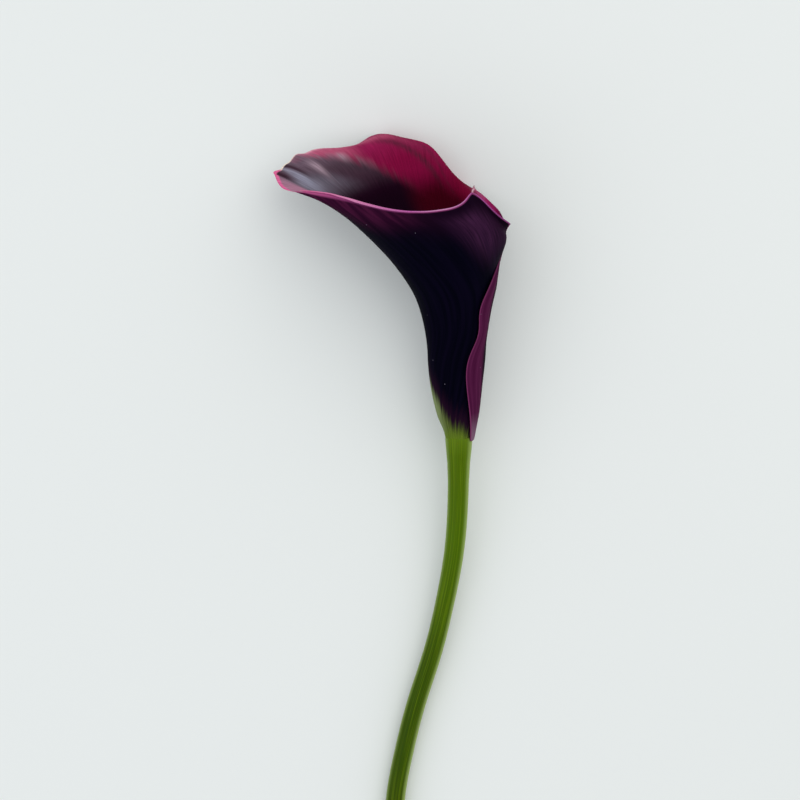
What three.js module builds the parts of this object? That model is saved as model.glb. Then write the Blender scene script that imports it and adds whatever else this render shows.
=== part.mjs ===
// A cut calla lily flower, lying down: a stem, the rolled spathe, and the two zones of the spadix inside it.
// Millimetres. +Y runs along the stem towards the bloom, +Z is up from the surface that the flower lies on.
// Shapes are given round the bloom's base, the point on the stem's top where the spathe starts, at x = y = 0.
import * as THREE from "three";

const bloomBase = { x: 27.3, y: 57.9 }; // where the bloom's base stands in the part's frame
const seatGap = 0.3; // clearance between a piece and the one that it sits on
const baseTilt = 7; // degrees that the stem's top leans up

// The spathe's tube is a spiral in cross-section. x, y, z: its centre. tilt: degrees that its axis leans up.
// wide, deep: its half sizes. outer, inner: the degrees at which the outer and the inner margin stand,
// from +X towards +Z. roll: how much further out the outer margin lies than the inner one.
const tube = [
  { level: 0.0, x: -0.2, y: 0, z: 16, tilt: baseTilt, wide: 5.2, deep: 5.2, outer: 40, inner: 20, roll: 1.6 },
  { level: 0.07, x: -0.9, y: 9, z: 17.2, tilt: 8, wide: 7.6, deep: 7.4, outer: 54, inner: 5, roll: 1.7 },
  { level: 0.15, x: -1.6, y: 21, z: 19.2, tilt: 10, wide: 9.6, deep: 9.3, outer: 72, inner: -20, roll: 1.9 },
  { level: 0.24, x: -1.6, y: 34, z: 21.7, tilt: 12, wide: 10.8, deep: 10.5, outer: 69, inner: -35, roll: 2 },
  { level: 0.31, x: -1.7, y: 43, z: 23.7, tilt: 13, wide: 11.7, deep: 11.2, outer: 53, inner: -45, roll: 2.1 },
  { level: 0.38, x: -2.1, y: 52, z: 25.8, tilt: 14, wide: 13.5, deep: 12.7, outer: 51, inner: -48, roll: 2.2 },
  { level: 0.46, x: -3.2, y: 61, z: 28.2, tilt: 15, wide: 16.5, deep: 15.1, outer: 38, inner: -38, roll: 2.3 },
];

// Above the tube the sheet opens into a limb. Each chain crosses it from the outer margin, under the flower
// and over the midrib, to the inner margin on top. midrib: which point of the chain lies on the midrib.
const throat = {
  level: 0.62,
  midrib: 7,
  points: [
    [17.4, 75.5, 28], [15.9, 77.6, 21.8], [11.4, 81, 16], [4, 84, 12], [-6, 87, 9.5], [-20, 90, 11],
    [-32, 87.5, 16.5], [-36.6, 82.9, 25], [-35.6, 79.6, 32], [-24, 74.4, 45.5], [-7, 73.5, 51.5],
    [6, 73.5, 49], [13, 74.5, 43], [16.4, 75, 37], [16.9, 75.3, 32], [15.9, 75.8, 26.5],
  ],
};
const shoulder = {
  level: 0.87,
  midrib: 12,
  points: [
    [18, 81.5, 27.2], [16.6, 86, 20.5], [9.5, 94, 13.2], [0.5, 102.8, 9.3], [-7, 111.7, 9], [-12.1, 117.5, 9.5],
    [-20, 119.8, 10], [-28, 120.6, 11], [-35.5, 117.5, 14], [-45, 114, 16.5], [-54, 111, 18.5],
    [-60.5, 107.4, 20.5], [-63.8, 104, 22.5], [-62.2, 99.4, 27.2], [-54.8, 94, 35.4], [-36.3, 88, 49],
    [-14, 84, 57], [0, 85, 57.5], [8, 86.8, 52.5], [14, 84.8, 45], [18.4, 82.3, 32.5],
  ],
};
const rim = {
  level: 1,
  midrib: 14,
  points: [
    [18.2, 86.3, 28], [15.5, 91.2, 18], [11, 96.5, 10], [6.2, 100.6, 3.4], [0, 103.3, -1.8], [-9, 108.5, -2.6],
    [-19.5, 114.5, -2.6], [-28, 118.6, -1.8], [-34, 122.3, 2.4], [-40.6, 118.4, 7], [-48, 116.6, 10],
    [-60, 115.6, 13], [-67, 112.6, 15], [-70.6, 109.2, 16.7], [-71.7, 106.6, 17.6], [-74.3, 107.1, 20.3],
    [-73.2, 103, 22], [-69.5, 99.2, 25], [-61.5, 98, 30], [-50.5, 96.4, 39], [-40, 93.2, 48],
    [-22.8, 88.9, 58], [-8, 89, 61.5], [0.6, 92, 60.5], [3.7, 94.9, 58], [12, 90, 51], [19.8, 84.5, 42],
  ],
};

const sheetThickness = 1;
// Folds that run out to the tip. at: place across the sheet, half: half width, rise: height on the inner face.
const tipFolds = [
  { at: 0.478, half: 0.008, rise: -1 },
  { at: 0.5, half: 0.01, rise: 1.1 },
  { at: 0.52, half: 0.01, rise: -1.2 },
];
const foldStart = 0.68; // the level where the folds begin

// How finely the sheet is divided: the cells stand closer together round the midrib and towards the rim.
const division = {
  across: { count: 54, centre: 0.5, width: 0.07, gain: 1.8 },
  up: { count: 30, centre: 1, width: 0.2, gain: 1.2 },
};

const stem = {
  sides: 16,
  steps: 54,
  crowding: 1.15, // how much closer together the steps stand towards the bloom
  // Points of the centre line, without their height, from the bloom's base to the cut end.
  line: [
    [-0.2, 0], [-0.3, -15], [-0.8, -32], [-2.3, -48], [-5.6, -66], [-10.7, -87], [-17.1, -107], [-22.4, -128],
    [-25.4, -144], [-26.4, -162], [-25.9, -185], [-23.6, -210], [-19.6, -238],
  ],
  layFrom: 150, // distance below the bloom's base at which it comes to lie on the surface
  // How the radius changes with the distance below the bloom's base.
  radii: [[0, 5.5], [4, 5.2], [10, 4.6], [18, 4.25], [40, 4.05], [70, 3.8], [145, 3.85], [238, 3.9]],
};
const core = { radius: 3.1, length: 3.4 }; // the stem's own end inside the spathe, which carries the spadix
const spadixTop = 0.4; // the tube's level up to which the spadix follows its middle

// Each zone of the spadix: its length, its radius from bottom to top, and its florets, which stand in rings.
const femaleZone = {
  length: 12,
  radii: [[0, 2.9], [1.5, 3.5], [6, 3.8], [10.5, 3.5], [12, 2.6]],
  floret: { round: 10, rings: 6, cells: 3, height: 0.7 },
};
const maleZone = {
  length: 32,
  radii: [[0, 2.4], [2, 2.9], [12, 2.9], [24, 2.4], [29, 1.9], [31.2, 1.2], [32, 0.5]],
  floret: { round: 12, rings: 22, cells: 2, height: 0.4 },
};

const finishes = {
  stem: { color: 0x5f8a22, roughness: 0.45, metalness: 0 },
  spathe: { color: 0x4a0c33, roughness: 0.38, metalness: 0 },
  femaleZone: { color: 0x8f9a45, roughness: 0.6, metalness: 0 },
  maleZone: { color: 0xd9a520, roughness: 0.9, metalness: 0 },
};

const radians = THREE.MathUtils.degToRad;

// A natural cubic spline through values, which are lists of numbers, at rising knots.
function splineThrough(knots, values) {
  const last = knots.length - 1;
  const width = values[0].length;
  const bends = values.map(() => new Array(width).fill(0));
  for (let c = 0; c < width; c++) {
    const slopes = [0];
    const loads = [0];
    for (let i = 1; i < last; i++) {
      const before = knots[i] - knots[i - 1];
      const after = knots[i + 1] - knots[i];
      const rise = (values[i + 1][c] - values[i][c]) / after - (values[i][c] - values[i - 1][c]) / before;
      const pivot = 2 * (before + after) - before * slopes[i - 1];
      slopes[i] = after / pivot;
      loads[i] = (6 * rise - before * loads[i - 1]) / pivot;
    }
    for (let i = last - 1; i > 0; i--) bends[i][c] = loads[i] - slopes[i] * bends[i + 1][c];
  }
  return (place) => {
    let i = 0;
    while (i < last - 1 && place > knots[i + 1]) i++;
    const span = knots[i + 1] - knots[i];
    const right = (place - knots[i]) / span;
    const left = 1 - right;
    const pull = (share) => ((share ** 3 - share) * span * span) / 6;
    return values[i].map((low, c) => {
      const straight = left * low + right * values[i + 1][c];
      return straight + pull(left) * bends[i][c] + pull(right) * bends[i + 1][c];
    });
  };
}

// Knots that rise by distance along the points, with 0.5 at the point on the midrib.
function knotsAcross({ points, midrib }) {
  const run = [0];
  for (let i = 1; i < points.length; i++) {
    run.push(run[i - 1] + Math.hypot(...points[i].map((value, c) => value - points[i - 1][c])));
  }
  const half = run[midrib];
  const whole = run[run.length - 1];
  return run.map((way) => (way <= half ? (0.5 * way) / half : 0.5 + (0.5 * (way - half)) / (whole - half)));
}

// A point of a tube ring at a place across the sheet, 0 at the outer margin and 1 at the inner one.
function ringPoint(ring, across) {
  const start = radians(ring.outer);
  const end = radians(ring.inner - 360);
  const angle = start + (end - start) * across;
  const out = ring.roll * (0.5 - across);
  const sideways = (ring.wide + out) * Math.cos(angle);
  const upright = (ring.deep + out) * Math.sin(angle);
  const tilt = radians(ring.tilt);
  return [ring.x + sideways, ring.y - upright * Math.sin(tilt), ring.z + upright * Math.cos(tilt)];
}

const chains = [throat, shoulder, rim].map((chain) => ({
  level: chain.level,
  pointAt: splineThrough(knotsAcross(chain), chain.points),
}));
const levels = [...tube, ...chains].map((row) => row.level);

// The line up the sheet from the base to the rim at one place across it.
function ribAt(across) {
  const lower = tube.map((ring) => ringPoint(ring, across));
  const upper = chains.map((chain) => chain.pointAt(across));
  return splineThrough(levels, [...lower, ...upper]);
}

function foldHeight(across, level) {
  const share = THREE.MathUtils.smoothstep(level, foldStart, 1);
  const bump = ({ at, half, rise }) => rise * Math.exp(-(((across - at) / half) ** 2));
  return tipFolds.reduce((sum, fold) => sum + share * bump(fold), 0);
}

// The middle of the sheet as a grid of points, with the outward direction at each. The far lip lies flat on the
// surface.
function sheetGrid(places, heights) {
  const ribs = places.map(ribAt);
  const smooth = heights.map((level) => ribs.map((rib) => new THREE.Vector3(...rib(level))));
  const outward = directions(smooth);
  const folded = smooth.map((row, j) =>
    row.map((point, i) => {
      const moved = point.clone().addScaledVector(outward[j][i], -foldHeight(places[i], heights[j]));
      moved.z = Math.max(moved.z, sheetThickness / 2);
      return moved;
    }),
  );
  const facing = directions(folded).map((row, j) =>
    row.map((direction, i) =>
      folded[j][i].z > sheetThickness / 2 ? direction : new THREE.Vector3(0, 0, Math.sign(direction.z)),
    ),
  );
  return { points: folded, outward: facing };
}

function directions(rows) {
  const near = (list, i) => list[THREE.MathUtils.clamp(i, 0, list.length - 1)];
  return rows.map((row, j) =>
    row.map((_, i) => {
      const round = near(row, i + 1).clone().sub(near(row, i - 1));
      const along = near(rows, j + 1)[i].clone().sub(near(rows, j - 1)[i]);
      return round.cross(along).normalize();
    }),
  );
}

// Places between 0 and 1 that stand closer together around a centre.
function crowdedPlaces({ count, centre, width, gain }) {
  const fine = 2000;
  const density = (place) => 1 + gain * Math.exp(-(((place - centre) / width) ** 2));
  const run = [0];
  for (let i = 1; i <= fine; i++) run.push(run[i - 1] + density((i - 0.5) / fine));
  const places = [];
  let i = 0;
  for (let k = 0; k <= count; k++) {
    const goal = (run[fine] * k) / count;
    while (i < fine - 1 && run[i + 1] < goal) i++;
    places.push((i + (goal - run[i]) / (run[i + 1] - run[i])) / fine);
  }
  return places;
}

function closedGeometry(points, triangles) {
  const geometry = new THREE.BufferGeometry();
  const values = points.flatMap((point) => [point.x, point.y, point.z]);
  geometry.setAttribute("position", new THREE.Float32BufferAttribute(values, 3));
  geometry.setIndex(triangles);
  geometry.computeVertexNormals();
  return geometry;
}

// The sheet as a solid: its outer and inner faces, split into triangles alike, and the edges between them.
function sheetGeometry(places, heights) {
  const { points, outward } = sheetGrid(places, heights);
  const offset = (share) =>
    points.flatMap((row, j) =>
      row.map((point, i) => {
        const moved = point.clone().addScaledVector(outward[j][i], share * sheetThickness);
        moved.z = Math.max(moved.z, 0);
        return moved;
      }),
    );
  const columns = places.length;
  const outer = (i, j) => j * columns + i;
  const inner = (i, j) => columns * heights.length + outer(i, j);
  const triangles = [];
  const quad = (a, b, c, d) => triangles.push(a, b, c, a, c, d);
  for (let j = 0; j < heights.length - 1; j++) {
    for (let i = 0; i < columns - 1; i++) {
      quad(inner(i, j), inner(i, j + 1), inner(i + 1, j + 1), inner(i + 1, j));
      triangles.push(outer(i, j), outer(i + 1, j + 1), outer(i, j + 1));
      triangles.push(outer(i, j), outer(i + 1, j), outer(i + 1, j + 1));
    }
    quad(inner(0, j), outer(0, j), outer(0, j + 1), inner(0, j + 1));
    const end = columns - 1;
    quad(inner(end, j), inner(end, j + 1), outer(end, j + 1), outer(end, j));
  }
  const top = heights.length - 1;
  for (let i = 0; i < columns - 1; i++) {
    quad(inner(i, 0), inner(i + 1, 0), outer(i + 1, 0), outer(i, 0));
    quad(inner(i, top), outer(i, top), outer(i + 1, top), inner(i + 1, top));
  }
  return closedGeometry([...offset(0.5), ...offset(-0.5)], triangles);
}

// A closed body through rings of points, each ring turning from +X towards +Z as seen against its axis.
function ringedGeometry(rings) {
  const sides = rings[0].length;
  const points = rings.flat();
  const triangles = [];
  const at = (ring, i) => ring * sides + (i % sides);
  for (let ring = 0; ring < rings.length - 1; ring++) {
    for (let i = 0; i < sides; i++) {
      triangles.push(at(ring, i), at(ring + 1, i + 1), at(ring, i + 1));
      triangles.push(at(ring, i), at(ring + 1, i), at(ring + 1, i + 1));
    }
  }
  const middle = (ring) => ring.reduce((sum, point) => sum.add(point), new THREE.Vector3()).divideScalar(sides);
  points.push(middle(rings[0]), middle(rings[rings.length - 1]));
  for (let i = 0; i < sides; i++) {
    triangles.push(points.length - 2, at(0, i), at(0, i + 1));
    triangles.push(points.length - 1, at(rings.length - 1, i + 1), at(rings.length - 1, i));
  }
  return closedGeometry(points, triangles);
}

// A ring of points round a centre, square to an axis. radiusAt gives the radius of each point.
function ringRound(centre, axis, sides, radiusAt) {
  const sideways = new THREE.Vector3(axis.y, -axis.x, 0).normalize();
  const upright = sideways.clone().cross(axis);
  return Array.from({ length: sides }, (_, i) => {
    const angle = (2 * Math.PI * (i + 0.5)) / sides;
    const radius = radiusAt(i);
    return centre
      .clone()
      .addScaledVector(sideways, radius * Math.cos(angle))
      .addScaledVector(upright, radius * Math.sin(angle));
  });
}

const baseCentre = new THREE.Vector3(tube[0].x, tube[0].y, tube[0].z);
const baseAxis = new THREE.Vector3(0, Math.cos(radians(baseTilt)), Math.sin(radians(baseTilt)));
const alongBase = (way) => baseCentre.clone().addScaledVector(baseAxis, way);

function mix(pairs, place) {
  const i = Math.max(1, pairs.findIndex(([start]) => start >= place));
  const [low, from] = pairs[i - 1];
  const [high, to] = pairs[i];
  return from + ((to - from) * (place - low)) / (high - low);
}

// The stem's rings run from the cut end up to the seat under the spathe, and on round the core.
function stemGeometry() {
  const { line, sides, steps, crowding, radii, layFrom } = stem;
  const knots = line.map(([, y]) => -y);
  const sidewaysAt = splineThrough(knots, line.map(([x]) => [x]));
  const flatShare = Math.cos(Math.PI / sides);
  const restHeight = mix(radii, layFrom) * flatShare;
  const reach = knots[knots.length - 1];
  const centreAt = (down) => {
    const lift = Math.max(0, 1 - down / layFrom) ** 2;
    const lying = down > layFrom ? mix(radii, down) * flatShare : restHeight;
    return new THREE.Vector3(sidewaysAt(down)[0], -down, lying + (baseCentre.z - restHeight) * lift);
  };
  const rings = [];
  for (let step = 0; step < steps; step++) {
    const down = Math.min(reach * (1 - step / steps) ** crowding + seatGap, reach);
    const centre = centreAt(down);
    const axis = centreAt(down - seatGap).sub(centre).normalize();
    rings.push(ringRound(centre, axis, sides, () => mix(radii, down)));
  }
  rings.push(ringRound(alongBase(-seatGap), baseAxis, sides, () => radii[0][1]));
  rings.push(ringRound(alongBase(-seatGap), baseAxis, sides, () => core.radius));
  rings.push(ringRound(alongBase(core.length), baseAxis, sides, () => core.radius));
  return ringedGeometry(rings);
}

// The line that the spadix follows up the middle of the tube, by distance from the bloom's base.
const spadixCurve = new THREE.CatmullRomCurve3(
  tube.filter((ring) => ring.level < spadixTop).map((ring) => new THREE.Vector3(ring.x, ring.y, ring.z)),
);

// A zone of the spadix, with its florets raised as staggered domes.
function zoneGeometry({ length, radii, floret }, start) {
  const { round, rings: floretRings, cells, height } = floret;
  const sides = round * cells;
  const whole = spadixCurve.getLength();
  const rings = [];
  for (let row = 0; row <= floretRings * cells; row++) {
    const way = (length * row) / (floretRings * cells);
    const place = (start + way) / whole;
    const climb = Math.sin((Math.PI * (row % cells)) / cells);
    const stagger = Math.floor(row / cells) % 2 ? 0.5 : 0;
    const bulge = (i) => Math.sin(Math.PI * ((i / cells + stagger) % 1));
    const radiusAt = (i) => mix(radii, way) + height * climb * bulge(i);
    rings.push(ringRound(spadixCurve.getPointAt(place), spadixCurve.getTangentAt(place), sides, radiusAt));
  }
  return ringedGeometry(rings);
}

function named(name, geometry, finish) {
  const mesh = new THREE.Mesh(geometry, new THREE.MeshStandardMaterial(finish));
  mesh.name = name;
  return mesh;
}

const femaleStart = core.length + seatGap;
const maleStart = femaleStart + femaleZone.length + seatGap;
const placesAcross = crowdedPlaces(division.across);
const placesUp = crowdedPlaces(division.up);

const flower = new THREE.Group();
flower.name = "calla_lily_flower";
flower.add(
  named("stem", stemGeometry(), finishes.stem),
  named("spathe", sheetGeometry(placesAcross, placesUp), finishes.spathe),
  named("spadix_female_zone", zoneGeometry(femaleZone, femaleStart), finishes.femaleZone),
  named("spadix_male_zone", zoneGeometry(maleZone, maleStart), finishes.maleZone),
);
flower.position.set(bloomBase.x, bloomBase.y, 0);

export default flower;
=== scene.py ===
import math

import bpy
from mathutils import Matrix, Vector, noise


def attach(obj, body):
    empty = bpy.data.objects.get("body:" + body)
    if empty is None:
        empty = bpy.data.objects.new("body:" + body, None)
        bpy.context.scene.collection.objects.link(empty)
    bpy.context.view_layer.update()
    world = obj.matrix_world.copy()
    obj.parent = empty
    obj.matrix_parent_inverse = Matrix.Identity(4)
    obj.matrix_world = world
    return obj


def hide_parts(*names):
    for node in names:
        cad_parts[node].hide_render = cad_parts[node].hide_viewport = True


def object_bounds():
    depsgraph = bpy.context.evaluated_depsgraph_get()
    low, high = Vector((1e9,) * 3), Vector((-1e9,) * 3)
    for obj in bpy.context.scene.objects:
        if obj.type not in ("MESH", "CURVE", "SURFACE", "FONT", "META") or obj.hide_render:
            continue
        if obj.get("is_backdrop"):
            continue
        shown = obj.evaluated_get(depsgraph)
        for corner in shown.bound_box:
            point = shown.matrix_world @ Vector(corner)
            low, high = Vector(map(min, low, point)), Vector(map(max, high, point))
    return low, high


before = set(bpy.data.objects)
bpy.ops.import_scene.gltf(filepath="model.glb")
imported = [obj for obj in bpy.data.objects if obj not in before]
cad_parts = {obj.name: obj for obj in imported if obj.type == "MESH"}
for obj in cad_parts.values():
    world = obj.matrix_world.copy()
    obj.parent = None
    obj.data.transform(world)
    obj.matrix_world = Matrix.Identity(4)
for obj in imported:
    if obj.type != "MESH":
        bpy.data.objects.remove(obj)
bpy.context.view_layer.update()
print("frame loaded with", ", ".join(sorted(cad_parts)))

mm = 0.001
bloomBase = Vector((27.3, 57.9, 0))  # the point on the stem's top where the spathe starts, in mm
baseTilt = 7  # degrees that the stem's top leans up

# the camera, the floor and the light

view = {"x": 3.5, "y": 73.1, "height": 1400, "lens": 155.25, "sensor": 36}  # all in mm

cameraData = bpy.data.cameras.new("topCamera")
cameraData.lens = view["lens"]
cameraData.sensor_width = view["sensor"]
cameraData.clip_end = 20  # metres
camera = bpy.data.objects.new("topCamera", cameraData)
camera.location = (view["x"] * mm, view["y"] * mm, view["height"] * mm)
bpy.context.scene.collection.objects.link(camera)
bpy.context.scene.camera = camera
bpy.context.scene.view_settings.view_transform = "Standard"


# an sRGB hex value as linear light
def linearColor(hexCode):
    channels = [int(hexCode[i : i + 2], 16) / 255 for i in (1, 3, 5)]
    return [c / 12.92 if c <= 0.04045 else ((c + 0.055) / 1.055) ** 2.4 for c in channels] + [1]


# fills a node's inputs with links, hex colours or other values
def fillInputs(tree, node, inputs):
    for name, value in inputs.items():
        if isinstance(value, bpy.types.NodeSocket):
            tree.links.new(value, node.inputs[name])
        else:
            node.inputs[name].default_value = linearColor(value) if isinstance(value, str) else value


# adds one node with its settings, inputs and colour stops
def addNode(tree, kind, settings=None, inputs=None, stops=()):
    node = tree.nodes.new("ShaderNode" + kind)
    for name, value in (settings or {}).items():
        setattr(node, name, value)
    fillInputs(tree, node, inputs or {})
    for i, (place, color) in enumerate(stops):
        elements = node.color_ramp.elements
        element = elements[i] if i < 2 else elements.new(place)
        element.position = place
        element.color = linearColor(color)
    return node


colorMix = {"data_type": "RGBA"}  # sockets of such a Mix: 0 the share, 6 and 7 the colours, 2 what comes out


# a material with its shader, which is filled in once the nodes before it are there
def newMaterial(name):
    material = bpy.data.materials.new(name)
    material.use_nodes = True
    tree = material.node_tree
    tree.nodes.clear()
    shader = addNode(tree, "BsdfPrincipled")
    addNode(tree, "OutputMaterial", inputs={"Surface": shader.outputs["BSDF"]})
    return material, tree, shader


def deselectAll():
    if bpy.context.object and bpy.context.object.mode != "OBJECT":
        bpy.ops.object.mode_set(mode="OBJECT")
    bpy.ops.object.select_all(action="DESELECT")


floorSize = 9  # metres
deselectAll()
bpy.ops.mesh.primitive_plane_add(size=floorSize, location=(0, 0, 0))
floor = bpy.context.object
floor.name = "floor"
floor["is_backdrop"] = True

# matt painted board: an even pale ground with no gloss, and a faint mottle of 100 mm
board, tree, shader = newMaterial("mattPaintedBoard")
mottle = addNode(tree, "TexNoise", inputs={"Scale": 9, "Detail": 3})
tone = addNode(tree, "Mix", colorMix, {0: mottle.outputs["Fac"], 6: "#ebeeed", 7: "#edf0ef"})
fillInputs(tree, shader, {"Base Color": tone.outputs[2], "Roughness": 0.95, "Specular IOR Level": 0.1})
floor.data.materials.append(board)

# even light from all round, as in a white room
world = bpy.data.worlds.new("softRoom")
world.use_nodes = True
walls = world.node_tree.nodes["Background"]
walls.inputs["Color"].default_value = linearColor("#eef1f2")
walls.inputs["Strength"].default_value = 0.86
bpy.context.scene.world = world

# each soft light: where it stands and how wide it is, in metres, its power in watts and its tint
softLights = {
    "keyPanel": {"place": (0.55, 0.75, 1.25), "width": 1.5, "power": 5.5, "tint": "#fffaf4"},
    "fillPanel": {"place": (-0.95, -0.25, 0.95), "width": 1.2, "power": 2.5, "tint": "#f1f5ff"},
}
lightTarget = Vector((0, 0.08, 0.02))
for name, lamp in softLights.items():
    lampData = bpy.data.lights.new(name, "AREA")
    lampData.size = lamp["width"]
    lampData.energy = lamp["power"]
    lampData.color = linearColor(lamp["tint"])[:3]
    panel = bpy.data.objects.new(name, lampData)
    panel.location = lamp["place"]
    panel.rotation_euler = (lightTarget - panel.location).to_track_quat("-Z", "Y").to_euler()
    bpy.context.scene.collection.objects.link(panel)
print("camera, floor and light are set")


# the shaping of sheets and tubes

def smoothstep(low, high, value):
    share = min(1, max(0, (value - low) / (high - low)))
    return share * share * (3 - 2 * share)


def bump(value, centre, half):
    return math.exp(-(((value - centre) / half) ** 2))


def cusp(value, centre, half):
    return max(0, 1 - abs(value - centre) / half) ** 2


# a natural cubic spline through lists of numbers at rising knots
def splineThrough(knots, values):
    last = len(knots) - 1
    bends = [[0.0] * len(values[0]) for _ in values]
    for c in range(len(values[0])):
        slopes, loads = [0.0], [0.0]
        for i in range(1, last):
            before, after = knots[i] - knots[i - 1], knots[i + 1] - knots[i]
            rise = (values[i + 1][c] - values[i][c]) / after - (values[i][c] - values[i - 1][c]) / before
            pivot = 2 * (before + after) - before * slopes[i - 1]
            slopes.append(after / pivot)
            loads.append((6 * rise - before * loads[i - 1]) / pivot)
        for i in range(last - 1, 0, -1):
            bends[i][c] = loads[i] - slopes[i] * bends[i + 1][c]

    def valueAt(place):
        i = 0
        while i < last - 1 and place > knots[i + 1]:
            i += 1
        span = knots[i + 1] - knots[i]
        right = (place - knots[i]) / span
        left = 1 - right
        pullLow = (left**3 - left) * span * span / 6
        pullHigh = (right**3 - right) * span * span / 6
        ends = zip(values[i], values[i + 1], bends[i], bends[i + 1])
        return [left * low + right * high + pullLow * a + pullHigh * b for low, high, a, b in ends]

    return valueAt


# places from 0 to 1 that stand closer together round a centre
def crowdedPlaces(count, centre, width, gain):
    fine = 2000
    run = [0.0]
    for i in range(fine):
        place = (i + 0.5) / fine
        run.append(run[-1] + 1 + gain * bump(place, centre, width))
    places = []
    i = 0
    for k in range(count + 1):
        goal = run[-1] * k / count
        while i < fine - 1 and run[i + 1] < goal:
            i += 1
        places.append((i + (goal - run[i]) / (run[i + 1] - run[i])) / fine)
    return places


# a flat grid whose points are then set by rows[j][i], in mm from the bloom's base; its UV map holds the places, and
# spots says which i and j each point has
def shapedGrid(name, rows, placesAcross, placesUp):
    deselectAll()
    across, up = len(placesAcross) - 1, len(placesUp) - 1
    bpy.ops.mesh.primitive_grid_add(x_subdivisions=across, y_subdivisions=up, size=1, location=(0, 0, 0))
    piece = bpy.context.object
    piece.name = name
    spots = [(round((v.co.x + 0.5) * across), round((v.co.y + 0.5) * up)) for v in piece.data.vertices]
    for vertex, (i, j) in zip(piece.data.vertices, spots):
        vertex.co = (rows[j][i] + bloomBase) * mm
    uvs = piece.data.uv_layers.active.data
    for loop in piece.data.loops:
        i, j = spots[loop.vertex_index]
        uvs[loop.index].uv = (placesAcross[i], placesUp[j])
    return piece, spots


# one number for each point of a piece, for its material to read
def addAttribute(piece, name, values):
    attribute = piece.data.attributes.new(name, "FLOAT", "POINT")
    attribute.data.foreach_set("value", values)


def applyAll(piece):
    bpy.context.view_layer.objects.active = piece
    for modifier in list(piece.modifiers):
        bpy.ops.object.modifier_apply(modifier=modifier.name)


# a grid that was wrapped round into a tube: its seam is merged and its two open ends are filled
def closeSkin(piece):
    deselectAll()
    piece.select_set(True)
    bpy.context.view_layer.objects.active = piece
    bpy.ops.object.mode_set(mode="EDIT")
    bpy.ops.mesh.select_mode(type="VERT")
    bpy.ops.mesh.select_all(action="SELECT")
    bpy.ops.mesh.remove_doubles(threshold=0.001 * mm)
    bpy.ops.mesh.select_all(action="DESELECT")
    bpy.ops.mesh.select_non_manifold()
    bpy.ops.mesh.edge_face_add()
    bpy.ops.mesh.select_all(action="SELECT")
    bpy.ops.mesh.normals_make_consistent(inside=False)
    bpy.ops.object.mode_set(mode="OBJECT")
    bpy.ops.object.shade_smooth_by_angle(angle=math.radians(40))


# the spathe and the line of the stem that it grows from

stem = {
    # points of the centre line, without their height, from the bloom's base to the cut end
    "line": [(-0.2, 0), (-0.3, -15), (-0.8, -32), (-2.3, -48), (-5.6, -66), (-10.7, -87), (-17.1, -107), (-22.4, -128),
             (-25.4, -144), (-26.4, -162), (-25.9, -185), (-23.6, -210), (-19.6, -238)],
    "radii": [(0, 5.5), (4, 5.2), (10, 4.6), (18, 4.25), (40, 4.05), (70, 3.8), (145, 3.85), (238, 3.9)],
    "layFrom": 150,  # mm below the bloom's base, where it comes to lie on the surface
    "lyingShare": math.cos(math.pi / 16),
    "top": (-0.2, 0, 16),
    # the shoulder under the spathe and the short core inside it: mm above the top, and radius
    "topProfile": [(0.1, 5.42), (0.5, 5.05), (0.5, 4.4), (0.3, 3.1), (3.2, 3.1), (3.4, 2.9), (3.4, 0.1)],
    "topEdge": 0.3,  # mm below the top, where the shoulder starts
    # the cut end: share of the radius, and mm that the cut is hollow there
    "cutProfile": [(0.04, 0.3), (0.3, 0.28), (0.6, 0.2), (0.8, 0.08), (0.92, 0.0), (0.985, 0.03)],
    "cutEdge": 0.15,  # mm that the skin stands back round the cut
    "sides": 64, "steps": 260,
    # the faint ridges along it: height, noise cells round it and for each mm along it, and the radius that has them all
    "ridge": {"height": 0.035, "round": 5, "along": 0.02, "fullRadius": 3},
}
lean = math.radians(baseTilt)
baseTop = Vector(stem["top"])
baseAxis = Vector((0, math.cos(lean), math.sin(lean)))

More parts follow.
